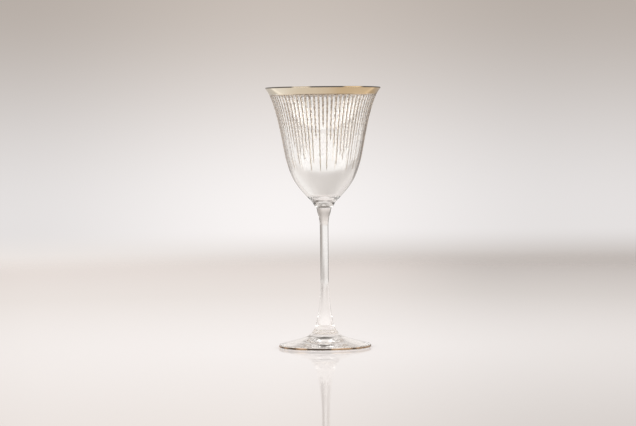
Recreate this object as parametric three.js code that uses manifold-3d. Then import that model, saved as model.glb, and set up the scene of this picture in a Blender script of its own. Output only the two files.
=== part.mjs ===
// A white wine glass: bowl, collar, stem and foot in clear glass, welded face to face, with fired
// gilding on the lip, down the wall of the bowl and round the edge of the foot.
// Millimetres, +Z up, the table at Z = 0 and the axis of the glass on Z.
import * as THREE from "three";
import { mergeVertices } from "three/addons/utils/BufferGeometryUtils.js";
import Module from "manifold-3d";

const wasm = await Module();
wasm.setup();

// Heights of the four glass pieces, from the table up
const FOOT_HEIGHT = 13;
const STEM_LENGTH = 94.3;
const COLLAR_HEIGHT = 4.2;
const BOWL_HEIGHT = 87.4;

// Bowl: leans are degrees from the vertical, pulls are how far each direction holds along the wall
const RIM_DIAMETER = 88.2;
const WAIST_DIAMETER = 56.6;
const WAIST_HEIGHT = 31.4;
const CUP_LEAN = 45;
const CUP_PULL = 21.5;
const WAIST_LEAN = 16.5;
const WAIST_PULL_DOWN = 11.4;
const WAIST_PULL_UP = 8.1;
const LIP_LEAN = 42.5;
const LIP_PULL = 13.2;
const LIP_WALL = 1.1;
const WAIST_WALL = 1.3;
const CUP_WALL = 1.8;
const FLOOR_THICKNESS = 4;
const FLOOR_START = 0.1;

// Collar: the conical knuckle under the bowl, a ledge wider than the stem's top
const COLLAR_TOP_DIAMETER = 17.4;
const COLLAR_LEDGE = 0.8;
const COLLAR_ROUNDING = 0.6;

// Stem: a trumpet under the collar, a long taper to the waist and a trumpet down to the foot
const STEM_TOP_DIAMETER = 11.4;
const STEM_NECK_DIAMETER = 6.5;
const STEM_NECK_DROP = 15;
const STEM_WAIST_DIAMETER = 6.2;
const STEM_WAIST_RISE = 42;
const STEM_BASE_DIAMETER = 17.4;
const STEM_TOP_PULL = 3;
const STEM_NECK_PULL = 8;
const STEM_WAIST_PULL = 15;
const STEM_BASE_PULL = 7;
const STEM_BASE_LEAN = 30;

// Foot: a boss a ledge wider than the stem, a flare, a sloping top and a hollow underside
const FOOT_DIAMETER = 70.6;
const FOOT_EDGE_THICKNESS = 2.7;
const FOOT_SLOPE = 16;
const FOOT_SLOPE_PULL = 14.6;
const BOSS_LEDGE = 0.9;
const BOSS_ROUNDING = 0.6;
const BOSS_LEAN = 16;
const BOSS_PULL = 4.2;
const CONTACT_WIDTH = 3;
const HOLLOW_RISE = 3;

// Gilding: the film is thicker than fired gold so that it stands as a solid
const FILM = 0.15;
const FILM_SEAT = 0.02;
const BAND_WIDTH = 4.7;
const HAIRLINE_DROP = 0.4;
const HAIRLINE_WIDTH = 0.6;
const LINE_COUNT = 72;
const LINE_WIDTH = 1.1;
const LINE_LIFT = 0.03;
const LINE_ENDS_ABOVE_WAIST = [26, -6, 16, 11, -3, 5, 1, 9, -7, -1, 18, -7];
const FOOT_LINE_BELOW = 35;
const FOOT_LINE_ABOVE = 20;

// Roundness: one facet of the wall under each gilt line, and half as many on the slim pieces
const WALL_FACETS = LINE_COUNT;
const SLIM_FACETS = LINE_COUNT / 2;

// Steps along each curved stretch of an outline
const CUP_STEPS = 7;
const FLARE_STEPS = 5;
const BAND_STEPS = 2;
const LIP_STEPS = 3;
const INSIDE_FLARE_STEPS = 6;
const INSIDE_CUP_STEPS = 4;
const FLOOR_STEPS = 3;
const ROUNDING_STEPS = 3;
const STEM_STEPS = 7;
const HOLLOW_STEPS = 3;
const EDGE_STEPS = 2;
const FOOT_LINE_STEPS = 3;
const FOOT_TOP_STEPS = 7;
const MERGE_DISTANCE = 1e-5;

const STEM_BOTTOM_Z = FOOT_HEIGHT;
const STEM_TOP_Z = STEM_BOTTOM_Z + STEM_LENGTH;
const BOWL_BOTTOM_Z = STEM_TOP_Z + COLLAR_HEIGHT;
const WAIST_Z = BOWL_BOTTOM_Z + WAIST_HEIGHT;
const LIP_Z = BOWL_BOTTOM_Z + BOWL_HEIGHT;

const point = (radius, z) => new THREE.Vector2(radius, z);

// The direction that leans by an angle in degrees from straight up, away from the axis
function leaning(degrees) {
  const angle = THREE.MathUtils.degToRad(degrees);
  return point(Math.sin(angle), Math.cos(angle));
}

const stepped = (from, along, length) => from.clone().addScaledVector(along, length);

// The direction to the right of a path that climbs along the given one: out of the glass
const outwardOf = (along) => point(along.y, -along.x);

// Evenly spaced values from one to the other, both ends included
function spread(from, to, steps) {
  return Array.from({ length: steps + 1 }, (_, i) => from + ((to - from) * i) / steps);
}

// Points on an arc, with the angles in degrees from the direction away from the axis
function arc(centre, radius, from, to, steps) {
  return spread(from, to, steps).map((degrees) => {
    const angle = THREE.MathUtils.degToRad(degrees);
    return point(centre.x + radius * Math.cos(angle), centre.y + radius * Math.sin(angle));
  });
}

// A solid turned about Z from an outline that runs anticlockwise in radius and height
function turned(outline, facets) {
  return new THREE.LatheGeometry(outline, facets).rotateX(Math.PI / 2);
}

// The outer wall of the bowl in two curves that share their direction at the waist
function wallCurves() {
  const weld = point(COLLAR_TOP_DIAMETER / 2, BOWL_BOTTOM_Z);
  const waist = point(WAIST_DIAMETER / 2, WAIST_Z);
  const lip = point(RIM_DIAMETER / 2, LIP_Z);
  const cup = new THREE.CubicBezierCurve(
    weld,
    stepped(weld, leaning(CUP_LEAN), CUP_PULL),
    stepped(waist, leaning(WAIST_LEAN), -WAIST_PULL_DOWN),
    waist,
  );
  const flare = new THREE.CubicBezierCurve(
    waist,
    stepped(waist, leaning(WAIST_LEAN), WAIST_PULL_UP),
    stepped(lip, leaning(LIP_LEAN), -LIP_PULL),
    lip,
  );
  return { cup, flare };
}

const { cup, flare } = wallCurves();

// Where a climbing curve reaches a height, as its own parameter, by halving
function reaches(curve, z) {
  let low = 0;
  let high = 1;
  for (let i = 0; i < 40; i += 1) {
    const middle = (low + high) / 2;
    if (curve.getPoint(middle).y < z) low = middle;
    else high = middle;
  }
  return low;
}

// A point beside a curve, at a distance out of the glass
function beside(curve, t, distance) {
  return stepped(curve.getPoint(t), outwardOf(curve.getTangent(t)), distance);
}

// Where the wall is sampled: the lower edge of the band is one of the samples
const BAND_START = reaches(flare, LIP_Z - BAND_WIDTH);
const CUP_SAMPLES = spread(0, 1, CUP_STEPS);
const FLARE_SAMPLES = spread(0, BAND_START, FLARE_STEPS);
const BAND_SAMPLES = spread(BAND_START, 1, BAND_STEPS);

// The rounded lip, grown by a distance, from the outer side over the top to the inner side
function lipArc(growth) {
  const along = flare.getTangent(1);
  const centre = beside(flare, 1, -LIP_WALL / 2);
  const start = THREE.MathUtils.radToDeg(outwardOf(along).angle());
  return arc(centre, LIP_WALL / 2 + growth, start, start + 180, LIP_STEPS);
}

// The outer wall from the weld to the lip
const WALL = [
  ...CUP_SAMPLES.map((t) => cup.getPoint(t)),
  ...FLARE_SAMPLES.slice(1).map((t) => flare.getPoint(t)),
  ...BAND_SAMPLES.slice(1).map((t) => flare.getPoint(t)),
];

// The inside from the lip down to the floor of the cup, where the wall thickens
function insideOutline() {
  const flareInside = spread(1, 0, INSIDE_FLARE_STEPS).map((t) =>
    beside(flare, t, -THREE.MathUtils.lerp(WAIST_WALL, LIP_WALL, t)));
  const cupInside = spread(1, FLOOR_START, INSIDE_CUP_STEPS).map((t) =>
    beside(cup, t, -THREE.MathUtils.lerp(CUP_WALL, WAIST_WALL, t)));
  const side = cupInside.at(-1);
  const floor = point(0, BOWL_BOTTOM_Z + FLOOR_THICKNESS);
  const along = cup.getTangent(FLOOR_START);
  const corner = stepped(side, along, (floor.y - side.y) / along.y);
  const bottom = new THREE.QuadraticBezierCurve(side, corner, floor).getPoints(FLOOR_STEPS);
  return [...flareInside.slice(1), ...cupInside.slice(1), ...bottom.slice(1)];
}

function bowl() {
  const outline = [point(0, BOWL_BOTTOM_Z), ...WALL, ...lipArc(0).slice(1), ...insideOutline()];
  return turned(outline, WALL_FACETS);
}

function collar() {
  const top = point(COLLAR_TOP_DIAMETER / 2, BOWL_BOTTOM_Z);
  const bottom = point(STEM_TOP_DIAMETER / 2 + COLLAR_LEDGE, STEM_TOP_Z);
  const side = top.clone().sub(bottom).normalize();
  const turnUp = stepped(bottom, side, COLLAR_ROUNDING);
  const outline = new THREE.Path()
    .moveTo(0, bottom.y)
    .lineTo(bottom.x - COLLAR_ROUNDING, bottom.y)
    .quadraticCurveTo(bottom.x, bottom.y, turnUp.x, turnUp.y)
    .lineTo(top.x, top.y)
    .lineTo(0, top.y);
  return turned(outline.getPoints(ROUNDING_STEPS), SLIM_FACETS);
}

function stem() {
  const base = point(STEM_BASE_DIAMETER / 2, STEM_BOTTOM_Z);
  const waist = point(STEM_WAIST_DIAMETER / 2, STEM_BOTTOM_Z + STEM_WAIST_RISE);
  const neck = point(STEM_NECK_DIAMETER / 2, STEM_TOP_Z - STEM_NECK_DROP);
  const top = point(STEM_TOP_DIAMETER / 2, STEM_TOP_Z);
  const up = leaning(0);
  const baseHandle = stepped(base, leaning(-STEM_BASE_LEAN), STEM_BASE_PULL);
  const waistHandle = stepped(waist, up, -STEM_WAIST_PULL);
  const neckHandle = stepped(neck, up, STEM_NECK_PULL);
  const outline = new THREE.Path()
    .moveTo(0, base.y)
    .lineTo(base.x, base.y)
    .bezierCurveTo(baseHandle.x, baseHandle.y, waistHandle.x, waistHandle.y, waist.x, waist.y)
    .lineTo(neck.x, neck.y)
    .bezierCurveTo(neckHandle.x, neckHandle.y, top.x, top.y - STEM_TOP_PULL, top.x, top.y)
    .lineTo(0, top.y);
  return turned(outline.getPoints(STEM_STEPS), SLIM_FACETS);
}

const EDGE_RADIUS = FOOT_EDGE_THICKNESS / 2;
const EDGE_CENTRE = point(FOOT_DIAMETER / 2 - EDGE_RADIUS, EDGE_RADIUS);

function foot() {
  const contactInner = EDGE_CENTRE.x - CONTACT_WIDTH;
  const hollow = new THREE.QuadraticBezierCurve(
    point(0, HOLLOW_RISE), point(contactInner / 2, HOLLOW_RISE), point(contactInner, 0));
  const edge = [
    ...arc(EDGE_CENTRE, EDGE_RADIUS, -90, -FOOT_LINE_BELOW, EDGE_STEPS),
    ...arc(EDGE_CENTRE, EDGE_RADIUS, -FOOT_LINE_BELOW, FOOT_LINE_ABOVE, FOOT_LINE_STEPS).slice(1),
    ...arc(EDGE_CENTRE, EDGE_RADIUS, FOOT_LINE_ABOVE, 90 - FOOT_SLOPE, EDGE_STEPS).slice(1),
  ];
  const edgeTop = edge.at(-1);
  const bossSide = point(STEM_BASE_DIAMETER / 2 + BOSS_LEDGE, FOOT_HEIGHT - BOSS_ROUNDING);
  const bossTop = point(bossSide.x - BOSS_ROUNDING, FOOT_HEIGHT);
  const top = new THREE.CubicBezierCurve(
    edgeTop,
    stepped(edgeTop, leaning(FOOT_SLOPE - 90), FOOT_SLOPE_PULL),
    stepped(bossSide, leaning(-BOSS_LEAN), -BOSS_PULL),
    bossSide,
  );
  const boss = new THREE.QuadraticBezierCurve(bossSide, point(bossSide.x, bossTop.y), bossTop);
  const outline = [
    ...hollow.getPoints(HOLLOW_STEPS),
    ...edge,
    ...top.getPoints(FOOT_TOP_STEPS).slice(1),
    ...boss.getPoints(ROUNDING_STEPS).slice(1),
    point(0, FOOT_HEIGHT),
  ];
  return turned(outline, WALL_FACETS);
}

// A film between two outlines that run side by side, the outer one first
function film(outside, inside) {
  return [...outside, ...inside.reverse(), outside[0]];
}

function rimBand() {
  const coat = (lift) => [
    ...BAND_SAMPLES.map((t) => beside(flare, t, lift)),
    ...lipArc(lift).slice(1),
  ];
  return turned(film(coat(FILM_SEAT + FILM), coat(FILM_SEAT)), WALL_FACETS);
}

function footLine() {
  const coat = (lift) =>
    arc(EDGE_CENTRE, EDGE_RADIUS + lift, -FOOT_LINE_BELOW, FOOT_LINE_ABOVE, FOOT_LINE_STEPS);
  return turned(film(coat(FILM_SEAT + FILM), coat(FILM_SEAT)), WALL_FACETS);
}

// The stretch of the wall between two heights, with its ends cut on the facets
function wallBetween(low, high) {
  const cutAt = (z) => {
    const above = WALL.findIndex((p) => p.y > z);
    const from = WALL[above - 1];
    const to = WALL[above];
    return from.clone().lerp(to, (z - from.y) / (to.y - from.y));
  };
  return [cutAt(low), ...WALL.filter((p) => p.y > low && p.y < high), cutAt(high)];
}

// A stretch of points moved out of the glass by a distance, square to its run at each point
function lifted(stretch, lift) {
  return stretch.map((p, i) => {
    const before = stretch[Math.max(i - 1, 0)];
    const after = stretch[Math.min(i + 1, stretch.length - 1)];
    return stepped(p, outwardOf(after.clone().sub(before).normalize()), lift);
  });
}

// One raised line along a stretch of the wall, three-sided, over the middle of a facet on +X
function gildedLine(low, high) {
  const inset = Math.cos(Math.PI / WALL_FACETS);
  const onFacet = wallBetween(low, high).map((p) => point(p.x * inset, p.y));
  const sides = lifted(onFacet, FILM_SEAT + LINE_LIFT);
  const ridge = lifted(onFacet, FILM_SEAT + FILM);
  const vertices = sides.flatMap((side, i) => [
    side.x, -LINE_WIDTH / 2, side.y,
    ridge[i].x, 0, ridge[i].y,
    side.x, LINE_WIDTH / 2, side.y,
  ]);
  const last = 3 * (sides.length - 1);
  const triangles = [0, 2, 1, last, last + 1, last + 2];
  for (let at = 0; at < last; at += 3) {
    for (let k = 0; k < 3; k += 1) {
      const next = (k + 1) % 3;
      triangles.push(at + k, at + next, at + 3 + next, at + k, at + 3 + next, at + 3 + k);
    }
  }
  const line = new THREE.BufferGeometry();
  line.setAttribute("position", new THREE.Float32BufferAttribute(vertices, 3));
  line.setIndex(triangles);
  return line;
}

// Joins closed shapes into one
function joined(shapes) {
  const solids = shapes.map((shape) => {
    shape.deleteAttribute("normal");
    shape.deleteAttribute("uv");
    const merged = mergeVertices(shape, MERGE_DISTANCE);
    return new wasm.Manifold(new wasm.Mesh({
      numProp: 3,
      vertProperties: merged.getAttribute("position").array,
      triVerts: new Uint32Array(merged.getIndex().array),
    }));
  });
  const mesh = solids.reduce((whole, next) => whole.add(next)).getMesh();
  const result = new THREE.BufferGeometry();
  result.setAttribute("position", new THREE.BufferAttribute(mesh.vertProperties, 3));
  result.setIndex(new THREE.BufferAttribute(mesh.triVerts, 1));
  return result;
}

function fringe() {
  const top = LIP_Z - BAND_WIDTH - HAIRLINE_DROP;
  const seat = wallBetween(top - HAIRLINE_WIDTH, top);
  const coat = film(lifted(seat, FILM_SEAT + FILM + LINE_LIFT), lifted(seat, FILM_SEAT));
  const hairline = turned(coat, WALL_FACETS);
  const lines = Array.from({ length: LINE_COUNT }, (_, k) => {
    const end = WAIST_Z + LINE_ENDS_ABOVE_WAIST[k % LINE_ENDS_ABOVE_WAIST.length];
    const angle = ((k + 0.5) / LINE_COUNT) * 2 * Math.PI - Math.PI / 2;
    return gildedLine(end, top - HAIRLINE_WIDTH / 2).rotateZ(angle);
  });
  return joined([hairline, ...lines]);
}

function clearGlass() {
  return new THREE.MeshStandardMaterial({
    color: 0xf4f7f6, roughness: 0.03, metalness: 0, transparent: true, opacity: 0.35,
  });
}

function gilding(roughness) {
  return new THREE.MeshStandardMaterial({ color: 0xd9b878, roughness, metalness: 1 });
}

const glass = new THREE.Group();
glass.name = "white_wine_glass";

function place(name, geometry, material) {
  const piece = new THREE.Mesh(geometry, material);
  piece.name = name;
  glass.add(piece);
}

place("bowl", bowl(), clearGlass());
place("collar", collar(), clearGlass());
place("stem", stem(), clearGlass());
place("foot", foot(), clearGlass());
place("rim_band", rimBand(), gilding(0.2));
place("fringe", fringe(), gilding(0.4));
place("foot_line", footLine(), gilding(0.2));

export default glass;
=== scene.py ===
"""A clear white wine glass with a gilt lip, gilt lines down the bowl and a gilt foot edge."""
import math

import bpy
import numpy as np
from mathutils import Matrix, Vector


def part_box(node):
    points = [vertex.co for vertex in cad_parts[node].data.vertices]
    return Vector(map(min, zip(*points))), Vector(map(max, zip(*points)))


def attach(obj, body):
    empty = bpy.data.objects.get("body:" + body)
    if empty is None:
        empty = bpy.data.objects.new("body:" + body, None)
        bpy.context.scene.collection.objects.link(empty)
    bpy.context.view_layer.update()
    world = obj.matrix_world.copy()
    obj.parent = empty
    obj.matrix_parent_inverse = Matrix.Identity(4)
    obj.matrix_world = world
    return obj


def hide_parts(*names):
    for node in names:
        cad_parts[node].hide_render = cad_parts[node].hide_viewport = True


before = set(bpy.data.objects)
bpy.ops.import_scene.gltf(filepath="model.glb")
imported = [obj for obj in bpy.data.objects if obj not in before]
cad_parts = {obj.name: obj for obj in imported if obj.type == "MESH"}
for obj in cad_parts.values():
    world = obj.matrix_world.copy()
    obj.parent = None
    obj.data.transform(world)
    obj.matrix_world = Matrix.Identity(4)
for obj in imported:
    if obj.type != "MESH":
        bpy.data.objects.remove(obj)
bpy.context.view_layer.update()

MM = 0.001
BLACK = (0, 0, 0)
WHITE = (1, 1, 1)

# Weld heights and the foot's radius, read from the frame
FOOT_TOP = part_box("foot")[1].z
STEM_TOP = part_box("stem")[1].z
BOWL_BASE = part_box("bowl")[0].z
FOOT_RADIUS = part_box("foot")[1].x

# Bowl wall: leans are degrees from the vertical, pulls are how far each direction holds
LIP_HEIGHT = BOWL_BASE + 87.4 * MM
RIM_RADIUS = 44.1 * MM
WAIST_RADIUS = 28.3 * MM
WAIST_HEIGHT = BOWL_BASE + 31.4 * MM
CUP_LEAN, CUP_PULL = 45, 21.5 * MM
WAIST_LEAN, WAIST_PULL_DOWN, WAIST_PULL_UP = 16.5, 11.4 * MM, 8.1 * MM
LIP_LEAN, LIP_PULL = 42.5, 13.2 * MM
LIP_WALL, WAIST_WALL, CUP_WALL = 1.1 * MM, 1.3 * MM, 1.8 * MM

# Bowl floor: how thick it is over the weld, and where on the cup's curve, 0 to 1, the wall turns into it
FLOOR_THICKNESS = 4 * MM
FLOOR_START = 0.1

# Collar and stem: a drop is measured from the stem's top and a rise from its base
COLLAR_TOP_RADIUS = 8.7 * MM
COLLAR_BOTTOM_RADIUS = 6.5 * MM
COLLAR_ROUNDING = 0.6 * MM
STEM_TOP_RADIUS, STEM_TOP_PULL = 5.7 * MM, 3 * MM
STEM_NECK_RADIUS, STEM_NECK_DROP, STEM_NECK_PULL = 3.25 * MM, 15 * MM, 8 * MM
STEM_WAIST_RADIUS, STEM_WAIST_RISE, STEM_WAIST_PULL = 3.1 * MM, 42 * MM, 15 * MM
STEM_BASE_RADIUS, STEM_BASE_LEAN, STEM_BASE_PULL = 8.7 * MM, 30, 7 * MM

# Foot: its slope is in degrees from the level, its boss's lean in degrees from the vertical
EDGE_RADIUS = 1.35 * MM
FOOT_SLOPE, FOOT_SLOPE_PULL = 16, 14.6 * MM
BOSS_RADIUS, BOSS_ROUNDING, BOSS_LEAN, BOSS_PULL = 9.6 * MM, 0.6 * MM, 16, 4.2 * MM
CONTACT_WIDTH = 3 * MM
HOLLOW_RISE = 3 * MM

# Gilding: how far it is fired into the glass and stands out of it, the band, and the hairline under it
GILT_DEPTH = 0.03 * MM
GILT_RISE = 0.1 * MM
BAND_WIDTH = 4.7 * MM
HAIRLINE_DROP = 0.4 * MM
HAIRLINE_WIDTH = 0.6 * MM

# The foot's gilt line: degrees below and above the level on the foot's round edge
FOOT_LINE_BELOW, FOOT_LINE_ABOVE = 35, 20

# Gilt lines on the bowl: the heights of their ends come in turn round the glass
LINE_COUNT = 72
LINE_TOP_WIDTH, LINE_LOW_WIDTH, LINE_NARROWING = 1.6 * MM, 0.75 * MM, 40 * MM
LINE_RISE = 0.1 * MM
LINE_TIP, TIP_LEFT = 3 * MM, 0.02
LINE_ENDS = WAIST_HEIGHT + MM * np.array([26, -6, 16, 11, -3, 5, 1, 9, -7, -1, 18, -7])

# Beads along those lines: swell and lift are the shares of a line's width and rise that a bead adds
BEAD_PITCH = 3 * MM
BEAD_SWAY = 0.1 * MM
BEAD_SWELL, BEAD_LIFT = 0.3, 0.6
STEPS_PER_BEAD = 9
POINTS_ROUND_LINE = 7

# The lip's dark stretches: their pitch across the glass and their phase in radians
LIP_DARK_PITCH, LIP_DARK_PHASE = 38.8 * MM, 3.93

# How far below the wall's top the lip's darkening starts, and how far above it the darkening is full
LIP_DARK_BELOW, LIP_DARK_ABOVE = 0.1 * MM, 0.3 * MM

# Roundness of the turned pieces, and the angles in degrees from which an edge stays sharp
WIDE_FACETS = 216
SLIM_FACETS = 96
SOLID_CREASE = 40
FILM_CREASE = 50

# Steps along an outline, for long curves down to small roundings
WALL_STEPS = 400
LONG_STEPS = 48
INSIDE_STEPS = 36
HOLLOW_STEPS = 32
MIDDLE_STEPS = 24
SHORT_STEPS = 12
ROUNDING_STEPS = 8
HAIRLINE_STEPS = 4

# The photograph's view: a long lens as high as the lines on the bowl, angles in degrees
CAMERA_DISTANCE = 1.95
CAMERA_HEIGHT = 0.167
CAMERA_AZIMUTH = 2.5
CAMERA_ROLL = 0.55
CAMERA_FIELD = 14.27
SENSOR_WIDTH = 36
AIM_HEIGHT = 0.10335
AIM_SIDE = -0.0046

# How many faces light may meet: of glass, and of welds and the table's faded edge
GLASS_BOUNCES = 40
CLEAR_BOUNCES = 24

# Table: it lies a hair below the foot and fades out with distance, sooner for light through the glass
TABLE_GAP = 0.1 * MM
TABLE_FADE, TABLE_REACH = 1.0, 1.6
THROUGH_FADE, THROUGH_REACH = 0.35, 0.6

# Table tones at shares of its reach, a painted pool of light round the glass: as it looks, and as
# reflections off the outside show it
TABLE_PAINTED_LIGHT = (
    (0.05, (0.945, 0.9, 0.885)),
    (0.4, (0.8, 0.735, 0.695)),
    (0.75, (0.745, 0.66, 0.62)),
)
TABLE_PAINTED_POOLS = (
    (0.08, (0.76, 0.75, 0.74)),
    (0.195, (0.8, 0.79, 0.78)),
    (0.227, (1.0, 0.99, 0.98)),
    (0.237, (1.0, 0.99, 0.98)),
    (0.285, (0.55, 0.54, 0.53)),
    (0.6, (0.47, 0.46, 0.45)),
)

# Painted table shade: the stretch to the right where it comes in, its share, and what each metre out
# adds
SHADE_SIDE = (-0.03, 0.17)
SHADE_SHARE, SHADE_GROWTH = 0.1, 0.25

# Studio backdrop: where each tone begins and ends, in parts of a ray's direction
HORIZON = (-0.0545, -0.038)
RIGHT_HAND = (-0.17, 0.08)
TABLE_EDGE = (-0.115, -0.056)
WALL_RISE = (-0.035, 0.058)
GLOW_CENTRE, GLOW_REACH, GLOW_LOSS = -0.059, 0.11, 0.17

# Studio through the glass: a paler table, a sky and dark cards at both sides
TABLE_LIFT = 0.2
SKY_FOOT, SKY_TOP, SKY_RIGHT = (-0.03, 0.06), (0.1, 0.5), (0.0, 0.55)
CARD_SIDE, CARD_DEPTH = (0.66, 0.88), (0.1, 0.4)

# Studio in reflections: a far side with a low glow and a dark ceiling strip, a near side with a lamp
FAR_SIDE = (-0.15, 0.15)
LOW_GLOW, GLOW_SIDE, FLANK_SIDE = (0.025, 0.08), (0.15, 0.25), (0.6, 0.85)
CEILING = (0.1, 0.24)
STRIP_FOOT, STRIP_TOP, STRIP_SIDE = (0.36, 0.46), (0.76, 0.84), (0.15, 0.5)
LAMP_FOOT, LAMP_TOP = (0.12, 0.34), (0.36, 0.75)


def spread(steps, start=0.0, end=1.0):
    """Even steps from start to end, with both ends."""
    return np.linspace(start, end, steps + 1)


def leaning(degrees):
    """The direction that leans outwards by an angle from straight up: (sin, cos)."""
    angle = math.radians(degrees)
    return np.array((math.sin(angle), math.cos(angle)))


def bezier(handles, t):
    """The Bernstein sum of any number of handles at parameters t, as rows of (radius, height)."""
    handles = np.asarray(handles, float)
    t = np.asarray(t, float)[:, None]
    degree = len(handles) - 1
    weights = [math.comb(degree, k) * t**k * (1 - t) ** (degree - k) for k in range(degree + 1)]
    return sum(weight * handle for weight, handle in zip(weights, handles))


def outward(handles, t):
    """Unit normals to the right of a Bezier's run: its derivative turned by a quarter turn."""
    along = bezier(np.diff(np.asarray(handles, float), axis=0), t)
    along /= np.linalg.norm(along, axis=1, keepdims=True)
    return np.stack((along[:, 1], -along[:, 0]), axis=1)


def arc(centre, radius, start, end, steps):
    """Points on a circle between two angles in degrees from the direction away from the axis."""
    angle = np.radians(spread(steps, start, end))
    return np.asarray(centre) + radius * np.stack((np.cos(angle), np.sin(angle)), axis=1)


# The bowl's outer wall in two curves: the cup from the weld to the waist, and the flare up to the lip
WELD = np.array((COLLAR_TOP_RADIUS, BOWL_BASE))
WAIST = np.array((WAIST_RADIUS, WAIST_HEIGHT))
LIP = np.array((RIM_RADIUS, LIP_HEIGHT))
CUP = (
    WELD,
    WELD + CUP_PULL * leaning(CUP_LEAN),
    WAIST - WAIST_PULL_DOWN * leaning(WAIST_LEAN),
    WAIST,
)
FLARE = (
    WAIST,
    WAIST + WAIST_PULL_UP * leaning(WAIST_LEAN),
    LIP - LIP_PULL * leaning(LIP_LEAN),
    LIP,
)


def wall(steps):
    """The bowl's outer wall from weld to lip: (points, outward normals), two Beziers end to end."""
    t = spread(steps)
    points = np.concatenate((bezier(CUP, t), bezier(FLARE, t)[1:]))
    normals = np.concatenate((outward(CUP, t), outward(FLARE, t)[1:]))
    return points, normals


WALL_POINTS, WALL_NORMALS = wall(WALL_STEPS)


def on_wall(heights):
    """The wall's points and normals at given heights, read off the finely stepped wall."""
    columns = np.concatenate((WALL_POINTS, WALL_NORMALS), axis=1)
    found = np.stack([np.interp(heights, WALL_POINTS[:, 1], column) for column in columns.T], axis=1)
    return found[:, :2], found[:, 2:]


def inner_wall(handles, t, low_wall, high_wall):
    """A curve of the outer wall moved inwards along its normals by the wall's thickness.

    The thickness goes evenly from low_wall at t = 0 to high_wall at t = 1."""
    thickness = low_wall + (high_wall - low_wall) * t
    return bezier(handles, t) - outward(handles, t) * thickness[:, None]


def bowl_floor(side):
    """A quadratic curve from the inner wall to the axis: it leaves along the wall and arrives level."""
    normal = outward(CUP, [FLOOR_START])[0]
    along = np.array((-normal[1], normal[0]))
    centre = np.array((0, BOWL_BASE + FLOOR_THICKNESS))
    corner = side + along * (centre[1] - side[1]) / along[1]
    return bezier((side, corner, centre), spread(MIDDLE_STEPS))


def lip_arc(growth, steps):
    """The rounded lip grown by a distance: a half circle from the outer side to the inner side."""
    normal = outward(FLARE, [1.0])[0]
    centre = LIP - normal * LIP_WALL / 2
    start = math.degrees(math.atan2(normal[1], normal[0]))
    return arc(centre, LIP_WALL / 2 + growth, start, start + 180, steps)


def bowl_outline():
    """Weld face, outer wall, rounded lip, inner wall at its thickness, and the curved floor."""
    outside, _ = wall(LONG_STEPS)
    lip = lip_arc(0, SHORT_STEPS)
    flare_inside = inner_wall(FLARE, spread(LONG_STEPS, 1, 0), WAIST_WALL, LIP_WALL)
    cup_inside = inner_wall(CUP, spread(INSIDE_STEPS, 1, FLOOR_START), CUP_WALL, WAIST_WALL)
    floor = bowl_floor(cup_inside[-1])
    return np.concatenate((
        [(0, BOWL_BASE)], outside, lip[1:], flare_inside[1:], cup_inside[1:], floor[1:]))


def collar_outline():
    """A cone between two flat weld faces, with its lower corner rounded by a quadratic curve."""
    bottom = np.array((COLLAR_BOTTOM_RADIUS, STEM_TOP))
    side = (WELD - bottom) / np.linalg.norm(WELD - bottom)
    corner = (bottom - (COLLAR_ROUNDING, 0), bottom, bottom + side * COLLAR_ROUNDING)
    rounding = bezier(corner, spread(ROUNDING_STEPS))
    cone = spread(SHORT_STEPS, rounding[-1], WELD)
    return np.concatenate(([(0, STEM_TOP)], rounding, cone[1:], [(0, BOWL_BASE)]))


def stem_outline():
    """A lower trumpet, a straight taper and an upper trumpet between two flat weld faces."""
    base = np.array((STEM_BASE_RADIUS, FOOT_TOP))
    waist = np.array((STEM_WAIST_RADIUS, FOOT_TOP + STEM_WAIST_RISE))
    neck = np.array((STEM_NECK_RADIUS, STEM_TOP - STEM_NECK_DROP))
    top = np.array((STEM_TOP_RADIUS, STEM_TOP))
    up = leaning(0)
    base_handle = base + STEM_BASE_PULL * leaning(-STEM_BASE_LEAN)
    waist_handle = waist - STEM_WAIST_PULL * up
    neck_handle = neck + STEM_NECK_PULL * up
    top_handle = top - STEM_TOP_PULL * up
    lower = bezier((base, base_handle, waist_handle, waist), spread(LONG_STEPS))
    taper = spread(MIDDLE_STEPS, waist, neck)
    upper = bezier((neck, neck_handle, top_handle, top), spread(MIDDLE_STEPS))
    return np.concatenate(([(0, FOOT_TOP)], lower, taper[1:], upper[1:], [(0, STEM_TOP)]))


EDGE_CENTRE = np.array((FOOT_RADIUS - EDGE_RADIUS, EDGE_RADIUS))


def foot_outline():
    """Hollow underside, flat contact ring, round edge, sloping top, and boss with its weld face."""
    ring_inner = EDGE_CENTRE[0] - CONTACT_WIDTH
    hollow_handles = ((0, HOLLOW_RISE), (ring_inner / 2, HOLLOW_RISE), (ring_inner, 0))
    hollow = bezier(hollow_handles, spread(HOLLOW_STEPS))
    edge = arc(EDGE_CENTRE, EDGE_RADIUS, -90, 90 - FOOT_SLOPE, MIDDLE_STEPS)
    boss = np.array((BOSS_RADIUS, FOOT_TOP - BOSS_ROUNDING))
    slope_handle = edge[-1] + FOOT_SLOPE_PULL * leaning(FOOT_SLOPE - 90)
    boss_handle = boss - BOSS_PULL * leaning(-BOSS_LEAN)
    top = bezier((edge[-1], slope_handle, boss_handle, boss), spread(LONG_STEPS))
    boss_corner = (boss, (BOSS_RADIUS, FOOT_TOP), (BOSS_RADIUS - BOSS_ROUNDING, FOOT_TOP))
    rounding = bezier(boss_corner, spread(ROUNDING_STEPS))
    return np.concatenate((hollow, edge, top[1:], rounding[1:], [(0, FOOT_TOP)]))


def ring_points(outline, facets):
    """Each (radius, height) carried round the axis: (radius sin a, -radius cos a, height)."""
    angle = np.linspace(0, 2 * np.pi, facets, endpoint=False)
    radius, height = outline[:, :1], outline[:, 1:]
    x = radius * np.sin(angle)
    y = -radius * np.cos(angle)
    return np.stack((x, y, np.broadcast_to(height, x.shape)), axis=2)


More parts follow.
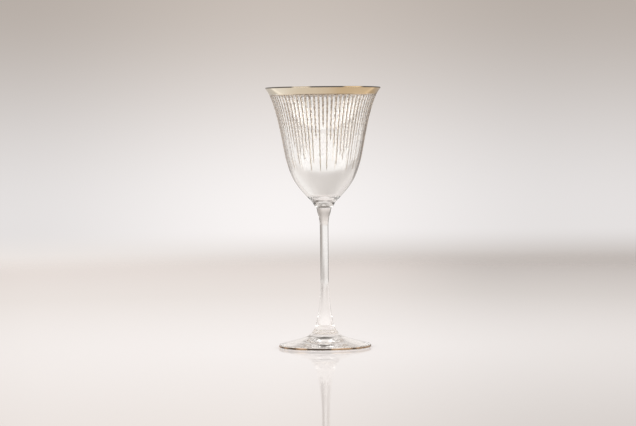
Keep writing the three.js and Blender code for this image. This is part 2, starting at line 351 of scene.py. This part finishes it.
def grid_quads(rows, columns, closed_rows):
    """Corner numbers of the quads of a grid whose columns close, and whose rows may close too."""
    numbers = np.arange(rows * columns).reshape(rows, columns)
    above = np.roll(numbers, -1, axis=0)
    if not closed_rows:
        numbers, above = numbers[:-1], above[:-1]
    corners = (numbers, np.roll(numbers, -1, axis=1), np.roll(above, -1, axis=1), above)
    return np.stack(corners, axis=2).reshape(-1, 4)


def make_piece(name, points, faces, materials, face_material=None):
    """A smooth mesh object at the origin from an array of points and a list of faces."""
    mesh = bpy.data.meshes.new(name)
    mesh.from_pydata(points.tolist(), [], faces)
    for material in materials:
        mesh.materials.append(material)
    mesh.polygons.foreach_set("use_smooth", np.ones(len(mesh.polygons), bool))
    if face_material is not None:
        mesh.polygons.foreach_set("material_index", np.asarray(face_material, np.int32))
    mesh.update()
    piece = bpy.data.objects.new(name, mesh)
    bpy.context.collection.objects.link(piece)
    return piece


def turned_solid(name, outline, facets, materials, welds):
    """An outline from axis to axis turned about Z, closed by a fan of triangles at each pole.

    welds says which end fans lie in a weld: they get the second material, the rest the first."""
    rings = ring_points(outline[1:-1], facets)
    poles = [(0, 0, outline[0, 1]), (0, 0, outline[-1, 1])]
    points = np.concatenate((rings.reshape(-1, 3), poles))
    body = grid_quads(len(rings), facets, False)
    around = np.arange(facets)
    onward = np.roll(around, -1)
    last = (len(rings) - 1) * facets
    bottom_pole, top_pole = len(points) - 2, len(points) - 1
    bottom = np.stack((onward, around, np.full(facets, bottom_pole)), axis=1)
    top = np.stack((last + around, last + onward, np.full(facets, top_pole)), axis=1)
    faces = [*body.tolist(), *bottom.tolist(), *top.tolist()]
    face_material = np.repeat((0, *welds), (len(body), facets, facets))
    piece = make_piece(name, points, faces, materials, face_material)
    piece.data.set_sharp_from_angle(angle=math.radians(SOLID_CREASE))
    return piece


def turned_film(name, outside, inside, facets, material):
    """A closed loop, out along one side and back along the other, turned about Z into a ring."""
    loop = np.concatenate((outside, inside[::-1]))
    points = ring_points(loop, facets).reshape(-1, 3)
    piece = make_piece(name, points, grid_quads(len(loop), facets, True).tolist(), [material])
    piece.data.set_sharp_from_angle(angle=math.radians(FILM_CREASE))
    return piece


class Value:
    """A shader socket that grows Math nodes when Python's operators are used on it."""

    def __init__(self, shading, socket):
        self.shading = shading
        self.socket = socket

    def math(self, operation, *others):
        """A Math node with this value first and the others after it."""
        values = dict(enumerate((self, *others)))
        return self.shading.add("ShaderNodeMath", {"operation": operation}, values)

    def __add__(self, other):
        return self.math("ADD", other)

    def __sub__(self, other):
        return self.math("SUBTRACT", other)

    def __rsub__(self, other):
        return self.shading.add("ShaderNodeMath", {"operation": "SUBTRACT"}, {0: other, 1: self})

    def __mul__(self, other):
        return self.math("MULTIPLY", other)

    __radd__ = __add__
    __rmul__ = __mul__

    def output(self, name):
        """Another output of the same node."""
        return Value(self.shading, self.socket.node.outputs[name])

    def between(self, low, high):
        """0 below low, 1 above high and a smooth step between them."""
        settings = {"interpolation_type": "SMOOTHSTEP"}
        return self.shading.add("ShaderNodeMapRange", settings, {"Value": self, 1: low, 2: high})


class Shading:
    """A node tree that is filled one node at a time."""

    def __init__(self, tree):
        self.tree = tree
        tree.nodes.clear()

    def add(self, kind, settings=None, inputs=None, output=0):
        """Adds a node: its settings first, then the values or links of its sockets."""
        node = self.tree.nodes.new(kind)
        for name, value in (settings or {}).items():
            if name == "stops":
                self.set_stops(node.color_ramp, value)
            else:
                setattr(node, name, value)
        for name, value in (inputs or {}).items():
            if isinstance(value, Value):
                self.tree.links.new(value.socket, node.inputs[name])
            else:
                node.inputs[name].default_value = value
        return Value(self, node.outputs[output]) if node.outputs else node

    @staticmethod
    def set_stops(ramp, stops):
        """A colour ramp's stops as (position, (red, green, blue)) pairs, lowest first."""
        while len(ramp.elements) < len(stops):
            ramp.elements.new(1.0)
        for element, (position, colour) in zip(ramp.elements, stops):
            element.position = position
            element.color = (*colour, 1.0)

    def place(self):
        """Where a point of the piece lies, in metres."""
        return self.add("ShaderNodeTexCoord", output="Object")

    def level_place(self):
        """A point's place with its height taken out, which points away from the glass's axis."""
        inputs = {0: self.place(), 1: (1, 1, 0)}
        return self.add("ShaderNodeVectorMath", {"operation": "MULTIPLY"}, inputs)

    def stretched(self, scale):
        """The piece's own coordinates times a scale for each axis."""
        return self.add("ShaderNodeMapping", {}, {"Vector": self.place(), "Scale": scale})

    def parts(self, vector):
        """A vector's X, Y and Z as three values."""
        x = self.add("ShaderNodeSeparateXYZ", {}, {0: vector})
        return x, x.output("Y"), x.output("Z")

    def length(self, vector):
        """How long a vector is."""
        return self.add("ShaderNodeVectorMath", {"operation": "LENGTH"}, {0: vector}, output="Value")

    def noise(self, where, scale, detail=2.0):
        """Cloudy noise around one half, with scale features to the unit of where."""
        return self.add("ShaderNodeTexNoise", {}, {"Vector": where, "Scale": scale, "Detail": detail})

    def ramp(self, value, stops):
        """A colour read off a row of stops."""
        return self.add("ShaderNodeValToRGB", {"stops": stops}, {0: value})

    def mixed(self, factor, first, second):
        """A colour between two colours. The Mix node's colour sockets are 6 and 7, and its output 2."""
        settings = {"data_type": "RGBA"}
        inputs = {0: factor, 6: self.colour(first), 7: self.colour(second)}
        return self.add("ShaderNodeMix", settings, inputs, output=2)

    @staticmethod
    def colour(value):
        """A socket's colour as it is, or a plain colour with its fourth part."""
        return value if isinstance(value, Value) else (*value, 1.0)

    def bump(self, height, strength, distance):
        """A normal that tilts with a height; distance is how tall the height 1 is, in metres."""
        inputs = {"Height": height, "Strength": strength, "Distance": distance}
        return self.add("ShaderNodeBump", {}, inputs)

    def principled(self, inputs):
        """A Principled shader with the values or links of its sockets."""
        return self.add("ShaderNodeBsdfPrincipled", {}, inputs)

    def surface(self, shader):
        """Ends a material's tree with its shader."""
        self.add("ShaderNodeOutputMaterial", {}, {"Surface": shader})


def new_material(name):
    """A new material and the shading that fills its node tree."""
    material = bpy.data.materials.new(name)
    material.use_nodes = True
    return material, Shading(material.node_tree)


def clear_glass(name, ripple_scale, ripple, smooth_radius):
    """Clear glass with a faint warm tint and the soft ripples of worked glass.

    The ripples start at the smooth radius from the glass's axis and are full at twice that."""
    warm, pale = (0.965, 0.96, 0.95), (0.99, 0.985, 0.98)
    material, paint = new_material(name)
    drift = paint.noise(paint.stretched((1, 1, 0.35)), scale=55.0)
    off_axis = paint.length(paint.level_place()).between(smooth_radius, 2 * smooth_radius)
    ripples = paint.noise(paint.place(), ripple_scale) * off_axis
    paint.surface(paint.principled({
        "Base Color": paint.mixed(drift, warm, pale),
        "Roughness": 0.0,
        "IOR": 1.5,
        "Transmission Weight": 1.0,
        "Normal": paint.bump(ripples, strength=ripple, distance=1 * MM),
    }))
    return material


def fused_weld():
    """The inside of a weld, where glass meets glass and no surface is left to see."""
    material, paint = new_material("fused_weld")
    paint.surface(paint.principled({"Base Color": paint.colour(WHITE), "Alpha": 0.0}))
    return material


def bright_gilding():
    """Fired bright gold, paler in patches of thinner film and in a painted sheen to the left, brushed in
    fine rings, darker in stretches along the lip.
    """
    full, thin_film_and_sheen, lip_dark_tone = (0.7, 0.5, 0.28), (0.95, 0.86, 0.71), (0.1, 0.085, 0.075)
    thin_share, patch_share, sheen_per_metre = 0.2, 0.6, -10.0
    material, paint = new_material("bright_gilding")
    x, _, height = paint.parts(paint.place())
    patches = paint.noise(paint.stretched((1, 1, 0.4)), scale=22.0).between(0.2, 0.8)
    # Paleness that grows towards the left across the glass is a painted sheen; the noise patches are
    # thinner film.
    thinness_and_sheen = patches * patch_share + x * sheen_per_metre + thin_share
    rings = paint.noise(paint.stretched((12, 12, 900)), scale=1.0, detail=4.0)
    # The lip's top is darker in stretches that follow a cosine across the glass.
    stretches = (x * (2 * math.pi / LIP_DARK_PITCH) - LIP_DARK_PHASE).math("COSINE")
    on_lip = height.between(LIP_HEIGHT - LIP_DARK_BELOW, LIP_HEIGHT + LIP_DARK_ABOVE)
    dark_on_lip = on_lip * (1 - stretches.between(0.2, 0.8))
    paint.surface(paint.principled({
        "Base Color": paint.mixed(dark_on_lip, paint.mixed(thinness_and_sheen, full, thin_film_and_sheen), lip_dark_tone),
        "Metallic": 1.0,
        "Roughness": 0.07 + 0.1 * rings,
        "Normal": paint.bump(rings, strength=0.15, distance=0.2 * MM),
    }))
    return material


def open_side(paint):
    """One where a surface faces away from the glass's axis, none where it faces the glass."""
    normal = paint.add("ShaderNodeNewGeometry", output="True Normal")
    away = paint.add("ShaderNodeVectorMath", {"operation": "NORMALIZE"}, {0: paint.level_place()})
    product = {"operation": "DOT_PRODUCT"}
    facing = paint.add("ShaderNodeVectorMath", product, {0: normal, 1: away}, output="Value")
    glass_side, free_side = -0.3, 0.1
    return facing.between(glass_side, free_side)


def worn_gilding():
    """The foot's gold line: rubbed brown and black in stretches, painted pale as a highlight on the side
    fired to the glass.
    """
    black, copper = (0.1, 0.075, 0.06), (0.52, 0.35, 0.22)
    # The pale colour on the side fired to the glass is a painted highlight, not the gold's own tone.
    gold, painted_light_side = (0.88, 0.74, 0.58), (0.82, 0.78, 0.73)
    material, paint = new_material("worn_gilding")
    wear = paint.noise(paint.stretched((1, 1, 0)), scale=72.0, detail=3.0)
    brown = paint.mixed(wear.between(0.41, 0.54), black, copper)
    rubbed = paint.mixed(wear.between(0.57, 0.7), brown, gold)
    paint.surface(paint.principled({
        "Base Color": paint.mixed(open_side(paint), painted_light_side, rubbed),
        "Metallic": 1.0,
        "Roughness": 0.25 + 0.2 * wear,
    }))
    return material


def matt_gilding():
    """Beaded gold with a grain: matt on its open side, where brown painted shade mixes with gold, and
    painted pale as a highlight on the side fired to the glass.
    """
    # The brown is painted shade on the gold, mixed in by the grain; the near-white on the fired side is
    # a painted highlight.
    brown, gold, painted_light_side = (0.4, 0.32, 0.255), (0.84, 0.72, 0.6), (0.95, 0.91, 0.86)
    material, paint = new_material("matt_gilding")
    facing_out = open_side(paint)
    grain = paint.noise(paint.place(), scale=700.0, detail=3.0)
    grain_and_shade = paint.mixed(grain.between(0.35, 0.65), brown, gold)
    paint.surface(paint.principled({
        "Base Color": paint.mixed(facing_out, painted_light_side, grain_and_shade),
        "Metallic": 1.0,
        "Roughness": 0.15 + 0.3 * grain * facing_out,
        "Normal": paint.bump(grain, strength=0.3, distance=0.3 * MM),
    }))
    return material


def dress(piece, node):
    """Puts a piece on the one body, in place of its plain solid."""
    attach(piece, "root")
    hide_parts(node)


def glass_pieces():
    """The four glass pieces, each closed, with nothing to see inside the welds."""
    weld = fused_weld()
    core = STEM_WAIST_RADIUS / 2
    blown = clear_glass("blown_glass", ripple_scale=55.0, ripple=0.05, smooth_radius=core)
    pressed = clear_glass("pressed_glass", ripple_scale=230.0, ripple=0.12, smooth_radius=BOSS_RADIUS)
    made = (
        ("bowl_glass", "bowl", bowl_outline(), WIDE_FACETS, blown, (1, 0)),
        ("collar_glass", "collar", collar_outline(), SLIM_FACETS, blown, (1, 1)),
        ("stem_glass", "stem", stem_outline(), SLIM_FACETS, blown, (1, 1)),
        ("foot_glass", "foot", foot_outline(), WIDE_FACETS, pressed, (0, 1)),
    )
    for name, node, outline, facets, glass, welds in made:
        dress(turned_solid(name, outline, facets, [glass, weld], welds), node)


def rim_band(material):
    """The gilt band: the wall's top stretch and the lip, fired in on one side and proud on the other."""
    points, normals = on_wall(spread(MIDDLE_STEPS, LIP_HEIGHT - BAND_WIDTH, LIP_HEIGHT))
    outside = np.concatenate((points + normals * GILT_RISE, lip_arc(GILT_RISE, SHORT_STEPS)[1:]))
    inside = np.concatenate((points - normals * GILT_DEPTH, lip_arc(-GILT_DEPTH, SHORT_STEPS)[1:]))
    band = turned_film("rim_gilding", outside, inside, WIDE_FACETS, material)
    dress(band, "rim_band")


def foot_line(material):
    """The gilt line round the foot's edge: an arc on the round edge, fired in and proud."""
    outside = arc(EDGE_CENTRE, EDGE_RADIUS + GILT_RISE, -FOOT_LINE_BELOW, FOOT_LINE_ABOVE, SHORT_STEPS)
    inside = arc(EDGE_CENTRE, EDGE_RADIUS - GILT_DEPTH, -FOOT_LINE_BELOW, FOOT_LINE_ABOVE, SHORT_STEPS)
    line = turned_film("foot_gilding", outside, inside, WIDE_FACETS, material)
    dress(line, "foot_line")


def beaded_line(end, top):
    """One gilt line over +X: an oval section carried down the wall, swelling and swaying bead by bead.

    Returns points as (step, round, xyz). A bead is the size |sin(pi s / pitch)| along the run s."""
    steps = int((top - end) / BEAD_PITCH * STEPS_PER_BEAD)
    centre, normal = on_wall(spread(steps, top, end))
    run = np.concatenate(([0], np.cumsum(np.linalg.norm(np.diff(centre, axis=0), axis=1))))
    wave = np.sin(np.pi * run / BEAD_PITCH)
    bead = np.abs(wave)
    taper = np.sqrt(np.clip((run[-1] - run) / LINE_TIP, TIP_LEFT, 1))
    width = np.interp(run, (0, LINE_NARROWING), (LINE_TOP_WIDTH, LINE_LOW_WIDTH))
    half_width = width / 2 * (1 - BEAD_SWELL + BEAD_SWELL * bead) * taper
    rise = LINE_RISE * (1 - BEAD_LIFT + BEAD_LIFT * bead) * taper
    sway = BEAD_SWAY * wave * taper
    angle = np.linspace(0, 2 * np.pi, POINTS_ROUND_LINE, endpoint=False) + np.pi / 2
    across = half_width[:, None] * np.cos(angle) + sway[:, None]
    lift = np.maximum(rise[:, None] * np.sin(angle), -GILT_DEPTH)
    radius = centre[:, :1] + normal[:, :1] * lift
    height = centre[:, 1:] + normal[:, 1:] * lift
    return np.stack((radius, across, height), axis=2)


def line_faces(steps, start):
    """Quads along a line and one face closing each end, for points that are numbered from start."""
    numbers = start + np.arange(steps * POINTS_ROUND_LINE).reshape(steps, POINTS_ROUND_LINE)
    sides = start + grid_quads(steps, POINTS_ROUND_LINE, False)[:, ::-1]
    return [*sides.tolist(), numbers[0].tolist(), numbers[-1, ::-1].tolist()]


def turn(points, angle):
    """Points turned about Z by an angle in radians: (x cos - y sin, x sin + y cos, z)."""
    x, y, z = np.moveaxis(points, -1, 0)
    turned_x = x * np.cos(angle) - y * np.sin(angle)
    turned_y = x * np.sin(angle) + y * np.cos(angle)
    return np.stack((turned_x, turned_y, z), axis=-1)


def fringe(material):
    """The hairline under the band and the beaded lines that hang from it, all in one piece."""
    top = LIP_HEIGHT - BAND_WIDTH - HAIRLINE_DROP
    seat, normals = on_wall(spread(HAIRLINE_STEPS, top - HAIRLINE_WIDTH, top))
    loop = np.concatenate((seat + normals * GILT_RISE, (seat - normals * GILT_DEPTH)[::-1]))
    points = [ring_points(loop, WIDE_FACETS).reshape(-1, 3)]
    faces = grid_quads(len(loop), WIDE_FACETS, True).tolist()
    count = len(points[0])
    for k in range(LINE_COUNT):
        line = beaded_line(LINE_ENDS[k % len(LINE_ENDS)], top - HAIRLINE_WIDTH / 2)
        angle = (k + 0.5) / LINE_COUNT * 2 * np.pi - np.pi / 2
        faces += line_faces(len(line), count)
        points.append(turn(line, angle).reshape(-1, 3))
        count += len(points[-1])
    piece = make_piece("fringe_gilding", np.concatenate(points), faces, [material])
    dress(piece, "fringe")


def linear(red, green, blue):
    """A screen colour, 0 to 255, as the light it stands for, by the sRGB curve."""
    part = np.array((red, green, blue)) / 255
    return tuple(np.where(part <= 0.04045, part / 12.92, ((part + 0.055) / 1.055) ** 2.4))


def far_table(paint, x, z):
    """The table's tone far out: palest near the camera, darker towards its edge and to the right."""
    right = x.between(*RIGHT_HAND)
    near = paint.mixed(right, linear(252, 248, 245), linear(230, 223, 218))
    edge = paint.mixed(right, linear(238, 231, 226), linear(190, 182, 176))
    return paint.mixed(z.between(*TABLE_EDGE), near, edge)


def back_wall(paint, x, z):
    """The wall behind the table: it darkens upwards, and to both sides of a glow behind the glass."""
    rising = paint.mixed(z.between(*WALL_RISE), linear(248, 244, 243), linear(199, 189, 181))
    aside = (x - GLOW_CENTRE).math("ABSOLUTE")
    return paint.mixed(GLOW_LOSS * aside.between(0.0, GLOW_REACH), rising, BLACK)


def sky(paint, x, z):
    """What stands over the table for light through the glass: it darkens upwards, grey to the right."""
    low = paint.mixed(z.between(*SKY_FOOT), linear(253, 250, 248), linear(228, 220, 214))
    upward = paint.mixed(z.between(*SKY_TOP), low, linear(150, 143, 137))
    return paint.mixed(x.between(*SKY_RIGHT), upward, linear(172, 164, 158))


def far_side(paint, x, z):
    """What reflections see behind the glass.

    A glow stands low between grey flanks with pale ends, under a pale ceiling with one dark strip."""
    right = x.between(*RIGHT_HAND)
    sideways = x.math("ABSOLUTE")
    dim_glow = paint.mixed(right, linear(230, 223, 218), linear(188, 181, 175))
    glow = paint.mixed(z.between(*LOW_GLOW), dim_glow, linear(242, 238, 236))
    grey = paint.mixed(right, linear(198, 191, 186), linear(136, 128, 122))
    flanks = paint.mixed(sideways.between(*FLANK_SIDE), grey, linear(240, 235, 231))
    low = paint.mixed(sideways.between(*GLOW_SIDE), glow, flanks)
    strip_height = z.between(*STRIP_FOOT) * (1 - z.between(*STRIP_TOP))
    strip = strip_height * (1 - sideways.between(*STRIP_SIDE))
    high = paint.mixed(strip, linear(240, 234, 229), linear(95, 89, 83))
    return paint.mixed(z.between(*CEILING), low, high)


def near_side(paint, z):
    """What reflections see on the camera's side: a dim room with a wide lamp above the camera."""
    dim, lamp_light = linear(110, 104, 99), (2.8, 2.75, 2.7)
    lamp = z.between(*LAMP_FOOT) * (1 - z.between(*LAMP_TOP))
    return paint.mixed(lamp, dim, lamp_light)


def studio_world():
    """A pale studio that shows each kind of ray its own side.

    The camera sees the backdrop, light through the glass a brighter one between dark cards, and
    reflections a room with a lamp. Matt surfaces are lit by an even dome."""
    card, dome = linear(105, 100, 95), (1.0, 0.99, 0.98)
    world = bpy.data.worlds.new("studio")
    world.use_nodes = True
    world.cycles.sampling_method = "NONE"
    bpy.context.scene.world = world
    paint = Shading(world.node_tree)
    x, y, z = paint.parts(paint.add("ShaderNodeTexCoord", output="Generated"))
    horizon = z.between(*HORIZON)
    table_tone = far_table(paint, x, z)
    backdrop = paint.mixed(horizon, table_tone, back_wall(paint, x, z))
    scenery = paint.mixed(horizon, paint.mixed(TABLE_LIFT, table_tone, WHITE), sky(paint, x, z))
    cards = x.math("ABSOLUTE").between(*CARD_SIDE) * y.math("ABSOLUTE").between(*CARD_DEPTH)
    seen_through = paint.mixed(cards, scenery, card)
    seen_mirrored = paint.mixed(y.between(*FAR_SIDE), near_side(paint, z), far_side(paint, x, z))

    path = paint.add("ShaderNodeLightPath", output="Is Camera Ray")
    mirrored = path.output("Glossy Depth").math("MINIMUM", 1.0)
    around = paint.mixed(mirrored, seen_through, seen_mirrored)
    lit = paint.mixed(path.output("Diffuse Depth"), around, dome)
    seen = paint.mixed(path, lit, backdrop)
    background = paint.add("ShaderNodeBackground", {}, {"Color": seen, "Strength": 1.0})
    paint.add("ShaderNodeOutputWorld", {}, {"Surface": background})


def pale_table():
    """A pale glossy table in a painted pool of light round the glass, with painted shade to its right,
    that fades out at its far edge.

    Reflections off the outside of the gilding and the glass show painted pools of light on it instead."""
    material, paint = new_material("pale_table")
    x, _, _ = paint.parts(paint.place())
    reach = paint.length(paint.place())
    share = reach * (1 / TABLE_REACH)
    # Painted shade to the right, over a ramp that paints a pool of light round the glass.
    shade = x.between(*SHADE_SIDE) * (SHADE_SHARE + SHADE_GROWTH * reach)
    plain = paint.mixed(shade, paint.ramp(share, TABLE_PAINTED_LIGHT), BLACK)
    path = paint.add("ShaderNodeLightPath", output="Is Transmission Ray")
    through_glass = path.output("Transmission Depth").math("MINIMUM", 1.0)
    off_outside = path.output("Glossy Depth") * (1 - through_glass)
    top = paint.principled({
        "Base Color": paint.mixed(off_outside, plain, paint.ramp(share, TABLE_PAINTED_POOLS)),
        "Specular IOR Level": 0.0,
        "Coat Weight": 0.55,
        "Coat Roughness": 0.03,
    })
    fade = (1 - path) * reach.between(TABLE_FADE, TABLE_REACH)
    through_fade = path * reach.between(THROUGH_FADE, THROUGH_REACH)
    clear = paint.add("ShaderNodeBsdfTransparent")
    paint.surface(paint.add("ShaderNodeMixShader", {}, {0: fade + through_fade, 1: top, 2: clear}))
    return material


def table(material):
    """A round table top: one flat face whose corners stand evenly on a circle."""
    rim = np.array([(TABLE_REACH, -TABLE_GAP)])
    points = ring_points(rim, SLIM_FACETS).reshape(-1, 3)
    make_piece("table", points, [list(range(SLIM_FACETS))], [material])


def camera():
    """A long lens at the photograph's height, rolled a little as the photograph is."""
    data = bpy.data.cameras.new("camera")
    data.sensor_width = SENSOR_WIDTH
    data.lens = SENSOR_WIDTH / 2 / math.tan(math.radians(CAMERA_FIELD / 2))
    azimuth = math.radians(CAMERA_AZIMUTH)
    side = Vector((math.cos(azimuth), math.sin(azimuth), 0))
    away = Vector((math.sin(azimuth), -math.cos(azimuth), 0))
    eye = away * CAMERA_DISTANCE + Vector((0, 0, CAMERA_HEIGHT))
    aim = side * AIM_SIDE + Vector((0, 0, AIM_HEIGHT))
    turned = (aim - eye).to_track_quat("-Z", "Y").to_matrix().to_4x4()
    roll = Matrix.Rotation(math.radians(-CAMERA_ROLL), 4, "Z")
    item = bpy.data.objects.new("camera", data)
    bpy.context.collection.objects.link(item)
    item.matrix_world = Matrix.Translation(eye) @ turned @ roll
    bpy.context.scene.camera = item


def light_paths():
    """Enough bounces for light to cross both walls of the bowl and the foot, and none of it blurred."""
    cycles = bpy.context.scene.cycles
    cycles.blur_glossy = 0.0
    cycles.max_bounces = GLASS_BOUNCES
    cycles.transmission_bounces = GLASS_BOUNCES
    cycles.glossy_bounces = GLASS_BOUNCES
    cycles.transparent_max_bounces = CLEAR_BOUNCES


bpy.context.scene.view_settings.view_transform = "Standard"
glass_pieces()
rim_band(bright_gilding())
foot_line(worn_gilding())
fringe(matt_gilding())
studio_world()
table(pale_table())
camera()
light_paths()
